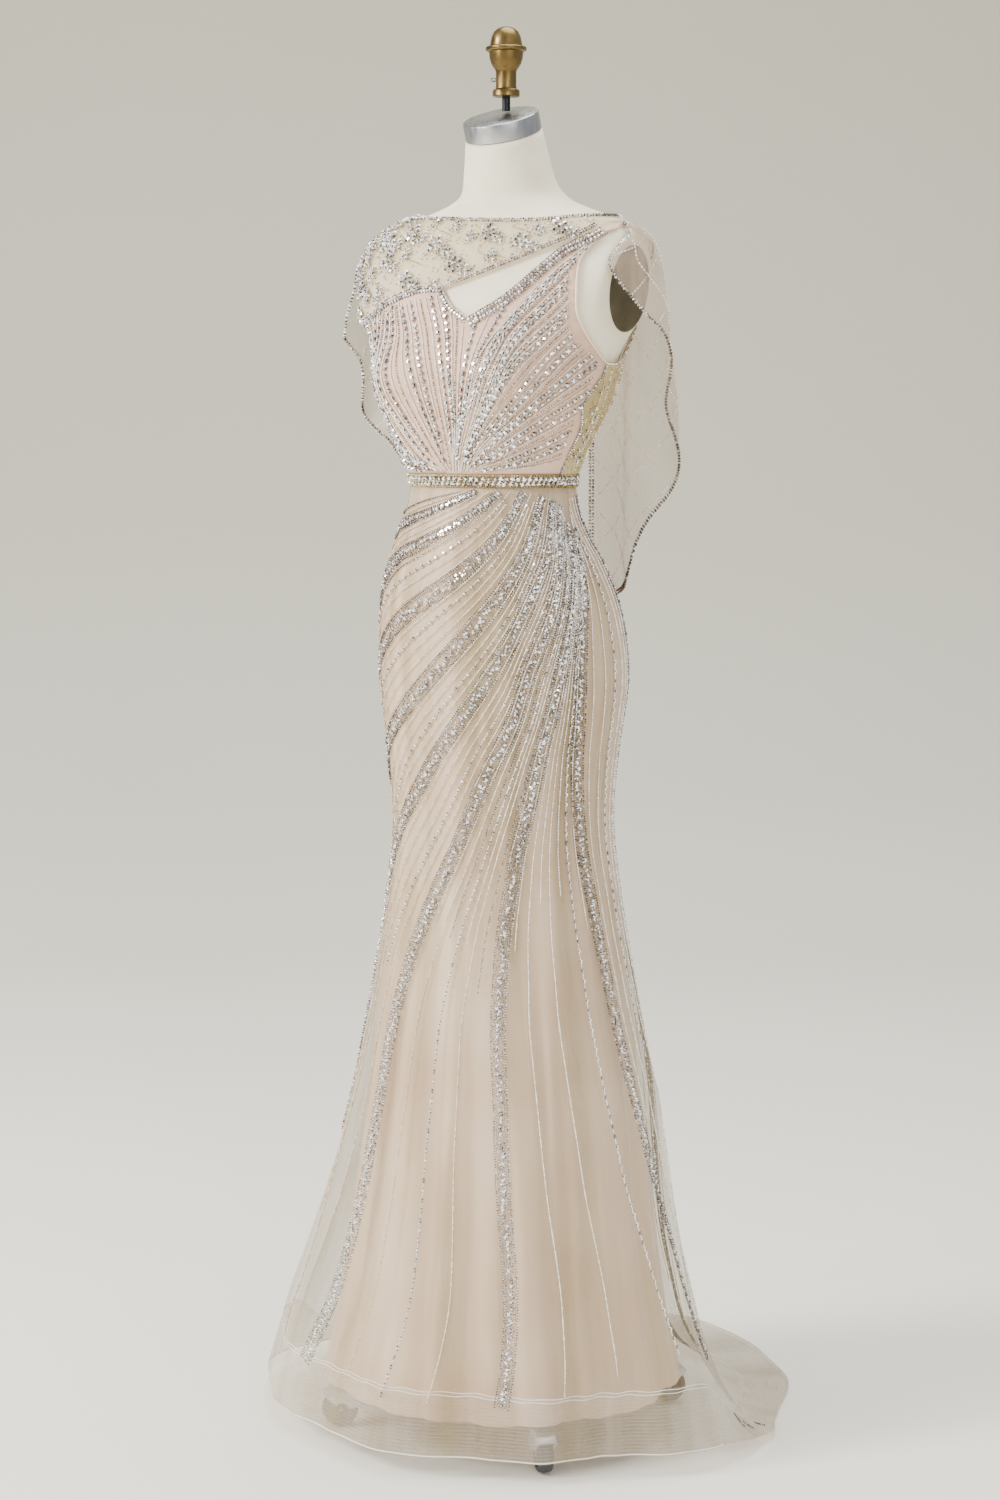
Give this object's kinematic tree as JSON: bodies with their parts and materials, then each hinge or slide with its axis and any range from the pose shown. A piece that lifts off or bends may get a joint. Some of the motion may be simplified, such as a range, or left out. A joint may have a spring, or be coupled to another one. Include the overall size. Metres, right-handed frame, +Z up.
{
  "type": "evening gown on dress form",
  "caption": "Floor-length beaded tulle evening gown with keyhole yoke, fluted capes, waistband and short train, worn on a limbless dress form with a wheeled stand.",
  "frame": {"origin": "bottom centre of the whole object, on the floor", "axes": "+Z up along the pole, front of the gown towards -Y, wearer's left towards +X"},
  "size_m": [0.679, 0.732, 1.735],
  "materials": {
    "form_cover": "plain cream cover, matt",
    "blush_lining": "soft satin lining",
    "beaded_tulle": "tulle over lining, hand-beaded",
    "sheer_tulle": "sheer tulle with beads",
    "skirt_tulle": "sheer tulle with bead bands",
    "horsehair_braid": "open crin braid",
    "crystal_band": "crystals and beads set on a waistband",
    "zip_tape": "woven tape",
    "steel": "satin",
    "brass": "aged, dull",
    "plate": "dark satin",
    "black_metal": "black",
    "caster_hood": "light grey",
    "wheel": "dark grey"
  },
  "bodies": {
    "root": {"form_torso": "form_cover", "armhole_plate_left": "plate", "armhole_plate_right": "plate", "neck_cap": "steel", "finial_rod": "black_metal", "finial": "brass", "finial_screw": "steel", "pole": "steel", "base_hub": "steel", "bodice_front": "beaded_tulle", "bodice_side_left": "sheer_tulle", "bodice_side_right": "sheer_tulle", "bodice_back_left": "beaded_tulle", "bodice_back_right": "beaded_tulle", "belt": "crystal_band", "yoke_front": "sheer_tulle", "yoke_back_left": "sheer_tulle", "yoke_back_right": "sheer_tulle", "cape_left": "sheer_tulle", "cape_right": "sheer_tulle", "lining_front": "blush_lining", "lining_back_left": "blush_lining", "lining_back_right": "blush_lining", "overlay_front": "skirt_tulle", "overlay_back_left": "skirt_tulle", "overlay_back_right": "skirt_tulle", "braid_front": "horsehair_braid", "braid_back_left": "horsehair_braid", "braid_back_right": "horsehair_braid", "zip_tape": "zip_tape", "zip_slider": "steel", "leg_front_left": "steel", "leg_front_right": "steel", "leg_back_left": "steel", "leg_back_right": "steel"},
    "swivel_front_left": {"caster_hood_front_left": "caster_hood", "caster_stem_front_left": "steel", "caster_axle_front_left": "steel"},
    "roll_front_left": {"caster_wheel_front_left": "wheel"},
    "swivel_front_right": {"caster_hood_front_right": "caster_hood", "caster_stem_front_right": "steel", "caster_axle_front_right": "steel"},
    "roll_front_right": {"caster_wheel_front_right": "wheel"},
    "swivel_back_left": {"caster_hood_back_left": "caster_hood", "caster_stem_back_left": "steel", "caster_axle_back_left": "steel"},
    "roll_back_left": {"caster_wheel_back_left": "wheel"},
    "swivel_back_right": {"caster_hood_back_right": "caster_hood", "caster_stem_back_right": "steel", "caster_axle_back_right": "steel"},
    "roll_back_right": {"caster_wheel_back_right": "wheel"},
    "zip_tab": {"zip_pull": "steel"}
  },
  "joints": [
    {"name": "swivel_front_left", "type": "hinge", "parent": "root", "child": "swivel_front_left", "pos_m": [0.14234, -0.24003, 0.055], "axis": [0, 0, 1], "continuous": true},
    {"name": "roll_front_left", "type": "hinge", "parent": "swivel_front_left", "child": "roll_front_left", "pos_m": [0.15931, -0.257, 0.02265], "axis": [0.7071, 0.7071, 0], "continuous": true},
    {"name": "swivel_front_right", "type": "hinge", "parent": "root", "child": "swivel_front_right", "pos_m": [-0.12636, -0.24003, 0.055], "axis": [0, 0, 1], "continuous": true},
    {"name": "roll_front_right", "type": "hinge", "parent": "swivel_front_right", "child": "roll_front_right", "pos_m": [-0.14333, -0.257, 0.02265], "axis": [0.7071, -0.7071, 0], "continuous": true},
    {"name": "swivel_back_left", "type": "hinge", "parent": "root", "child": "swivel_back_left", "pos_m": [0.14234, 0.02867, 0.055], "axis": [0, 0, 1], "continuous": true},
    {"name": "roll_back_left", "type": "hinge", "parent": "swivel_back_left", "child": "roll_back_left", "pos_m": [0.15931, 0.04565, 0.02265], "axis": [-0.7071, 0.7071, 0], "continuous": true},
    {"name": "swivel_back_right", "type": "hinge", "parent": "root", "child": "swivel_back_right", "pos_m": [-0.12636, 0.02867, 0.055], "axis": [0, 0, 1], "continuous": true},
    {"name": "roll_back_right", "type": "hinge", "parent": "swivel_back_right", "child": "roll_back_right", "pos_m": [-0.14333, 0.04565, 0.02265], "axis": [-0.7071, -0.7071, 0], "continuous": true},
    {"name": "zip_pull_hinge", "type": "hinge", "parent": "root", "child": "zip_tab", "pos_m": [0.00799, -0.00908, 1.49275], "axis": [1, 0, 0], "range_deg": [0, 110]}
  ]
}
